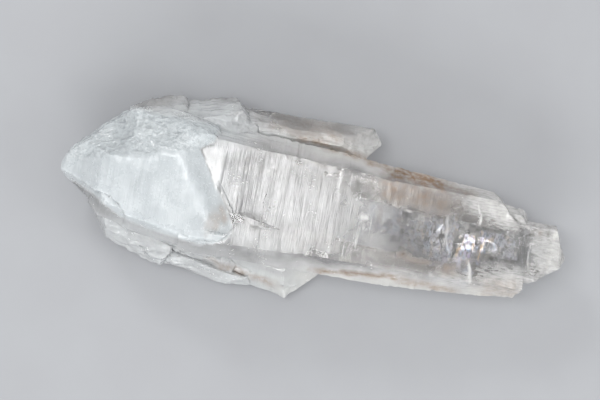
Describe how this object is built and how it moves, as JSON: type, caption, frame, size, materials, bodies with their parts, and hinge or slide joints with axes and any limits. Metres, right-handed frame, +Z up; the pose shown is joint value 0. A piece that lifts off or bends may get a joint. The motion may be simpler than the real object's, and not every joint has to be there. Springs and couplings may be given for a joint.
{
  "type": "quartz crystal",
  "caption": "Natural quartz specimen: a long tapering ledged prism with a stepped tip, smaller parallel crystals along its sides and a broken milky root.",
  "frame": {"origin": "middle of the underside of the specimen as it lies on the back face of its largest crystal", "axes": "+X along the largest crystal from the milky root to the tip, +Z up, +Y across it towards the side with the long rod"},
  "size_m": [0.1108, 0.0408, 0.0243],
  "materials": {
    "quartz": "natural crystal faces with fine growth lines, clear towards the tip and milky at the broken root"
  },
  "bodies": {
    "root": {"quartz_crystal": "quartz"}
  },
  "joints": []
}
